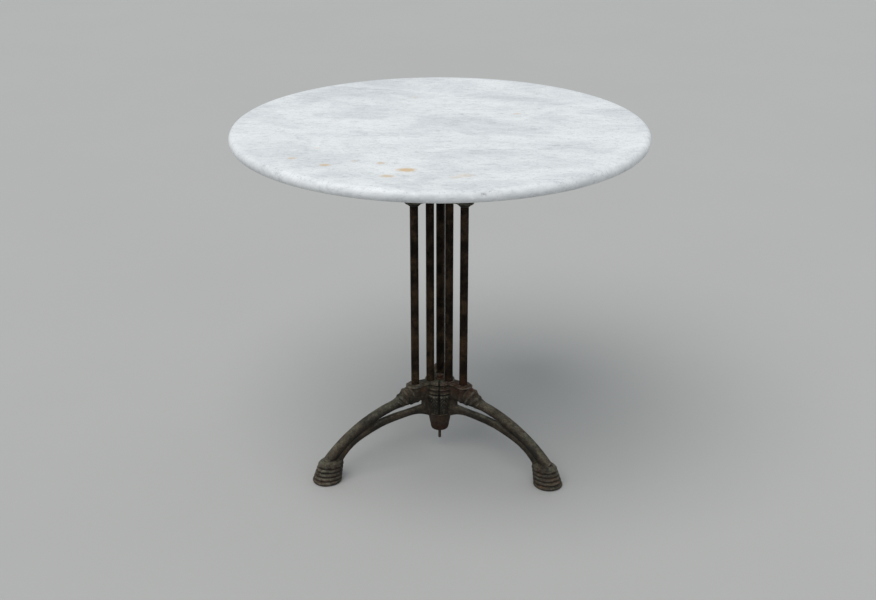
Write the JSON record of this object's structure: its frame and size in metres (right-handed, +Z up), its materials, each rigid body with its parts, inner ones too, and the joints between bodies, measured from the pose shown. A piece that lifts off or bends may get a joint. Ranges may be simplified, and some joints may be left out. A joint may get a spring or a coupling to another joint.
{
  "type": "bistro table",
  "caption": "Round marble cafe table on an arched cast iron tripod base, with a slender column of iron tubes standing in pairs over the legs.",
  "frame": {"origin": "on the floor, on the axis of the column", "axes": "+Z up along the column; one leg points to +Y (rear), the others to 210 and 330 degrees from +X"},
  "size_m": [0.7999, 0.7998, 0.71],
  "materials": {
    "marble": "honed cool white marble, fine grey veins, worn edge",
    "cast_iron": "weathered, matte, grey-green patina on upper faces, rust on edges",
    "tube_iron": "weathered, brown-black with fine rust",
    "fastener_iron": "dull, rusty",
    "lead": "dull grey, soft"
  },
  "bodies": {
    "root": {"marble_top": "marble", "marble_anchors": "lead", "marble_screws": "fastener_iron", "marble_screw_washers": "fastener_iron", "bracket_left": "cast_iron", "bracket_right": "cast_iron", "bracket_rear": "cast_iron", "top_cap": "cast_iron", "top_bolt": "fastener_iron", "top_bolt_washer": "fastener_iron", "top_nut": "fastener_iron", "upper_tube_pins": "fastener_iron", "outer_tube_left": "tube_iron", "outer_tube_right": "tube_iron", "outer_tube_rear": "tube_iron", "inner_tube_left": "tube_iron", "inner_tube_right": "tube_iron", "inner_tube_rear": "tube_iron", "lower_tube_pins": "fastener_iron", "leg_left": "cast_iron", "leg_right": "cast_iron", "leg_rear": "cast_iron", "hub_cup": "cast_iron", "hub_bolt": "fastener_iron", "hub_bolt_washer": "fastener_iron", "hub_nut": "fastener_iron"}
  },
  "joints": []
}
